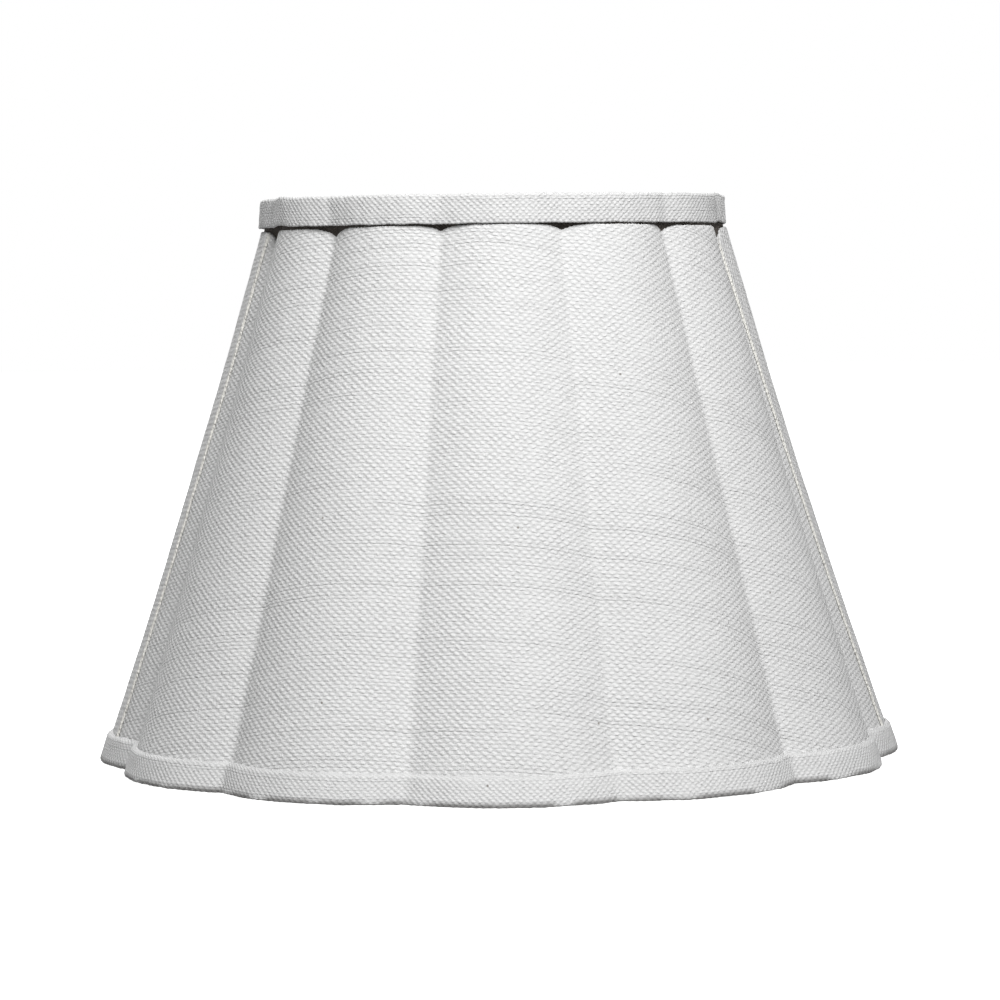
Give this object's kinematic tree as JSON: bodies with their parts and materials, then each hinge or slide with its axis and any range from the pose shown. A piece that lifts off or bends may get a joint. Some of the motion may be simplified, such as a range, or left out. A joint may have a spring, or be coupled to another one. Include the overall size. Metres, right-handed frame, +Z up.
{
  "type": "scalloped empire lamp shade",
  "caption": "Scalloped empire lamp shade: off-white linen stretched over a lobed wire frame, banded at both rims, with a recessed spider fitter.",
  "frame": {"origin": "on the shade's axis, in the plane it stands on (the underside of the bottom band)", "axes": "+Z up along the shade's axis; -Y is the front, towards the crest of one lobe"},
  "size_m": [0.3558, 0.3558, 0.248],
  "materials": {
    "linen": "coarse off-white plain-weave linen with slubs",
    "linen_band": "folded strip of the same coarse linen",
    "lining": "fine plain off-white lining cloth",
    "dark_tape": "dark taupe woven cotton tape",
    "frame_wire": "white-coated steel wire",
    "fitter_steel": "brass-plated steel, satin"
  },
  "bodies": {
    "root": {"front_cover": "linen", "back_cover": "linen", "top_band": "linen_band", "bottom_band": "linen_band", "front_lining": "lining", "back_lining": "lining", "top_tape": "dark_tape", "bottom_tape": "dark_tape", "top_ring": "frame_wire", "bottom_ring": "frame_wire", "rib_01": "frame_wire", "rib_02": "frame_wire", "rib_03": "frame_wire", "rib_04": "frame_wire", "rib_05": "frame_wire", "rib_06": "frame_wire", "rib_07": "frame_wire", "rib_08": "frame_wire", "rib_09": "frame_wire", "rib_10": "frame_wire", "rib_11": "frame_wire", "rib_12": "frame_wire", "spider_arm_1": "fitter_steel", "spider_arm_2": "fitter_steel", "spider_arm_3": "fitter_steel", "spider_washer": "fitter_steel"}
  },
  "joints": []
}
